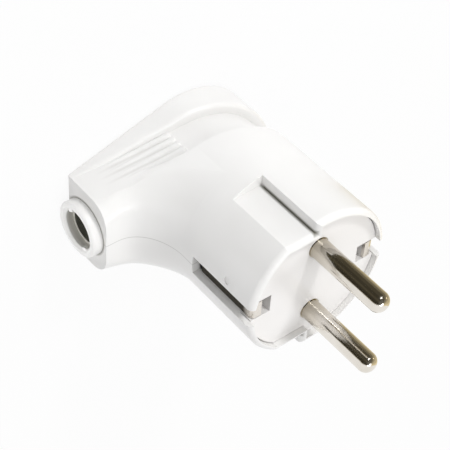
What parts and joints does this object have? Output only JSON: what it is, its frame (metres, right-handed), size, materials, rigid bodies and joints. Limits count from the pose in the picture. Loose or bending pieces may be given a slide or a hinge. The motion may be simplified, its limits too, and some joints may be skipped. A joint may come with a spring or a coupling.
{
  "type": "angled mains plug",
  "caption": "Angled rewirable plug with round contact pins, side earth strips, grip plate and side cable entry.",
  "frame": {"origin": "on the flat back, at the foot of the axis midway between the contact pins", "axes": "+Z along the contact pins, away from the flat back; -X out of the cable entry; +Y toward one pin, square to the split plane of the shell"},
  "size_m": [0.052, 0.0376, 0.068],
  "materials": {
    "upper_shell": "glossy white moulding",
    "lower_shell": "glossy white moulding",
    "pin_carrier": "glossy white moulding",
    "line_pin": "nickel plated",
    "neutral_pin": "nickel plated",
    "line_terminal_screw": "zinc plated",
    "neutral_terminal_screw": "zinc plated",
    "earth_strap": "nickel plated strip",
    "earth_washer": "zinc plated",
    "earth_screw": "zinc plated",
    "earth_nut": "plain brass",
    "cable_bush": "glossy white moulding",
    "cord_saddle": "matt white moulding",
    "cord_clamp_bar": "matt white moulding",
    "clamp_screw_1": "zinc plated",
    "clamp_screw_2": "zinc plated",
    "shell_insert_1": "plain brass",
    "shell_screw_1": "zinc plated",
    "shell_insert_2": "plain brass",
    "shell_screw_2": "zinc plated",
    "shell_insert_3": "plain brass",
    "shell_screw_3": "zinc plated"
  },
  "bodies": {
    "root": {"upper_shell": "upper_shell", "lower_shell": "lower_shell", "pin_carrier": "pin_carrier", "line_pin": "line_pin", "neutral_pin": "neutral_pin", "line_terminal_screw": "line_terminal_screw", "neutral_terminal_screw": "neutral_terminal_screw", "earth_strap": "earth_strap", "earth_washer": "earth_washer", "earth_screw": "earth_screw", "earth_nut": "earth_nut", "cable_bush": "cable_bush", "cord_saddle": "cord_saddle", "cord_clamp_bar": "cord_clamp_bar", "clamp_screw_1": "clamp_screw_1", "clamp_screw_2": "clamp_screw_2", "shell_insert_1": "shell_insert_1", "shell_screw_1": "shell_screw_1", "shell_insert_2": "shell_insert_2", "shell_screw_2": "shell_screw_2", "shell_insert_3": "shell_insert_3", "shell_screw_3": "shell_screw_3"}
  },
  "joints": []
}
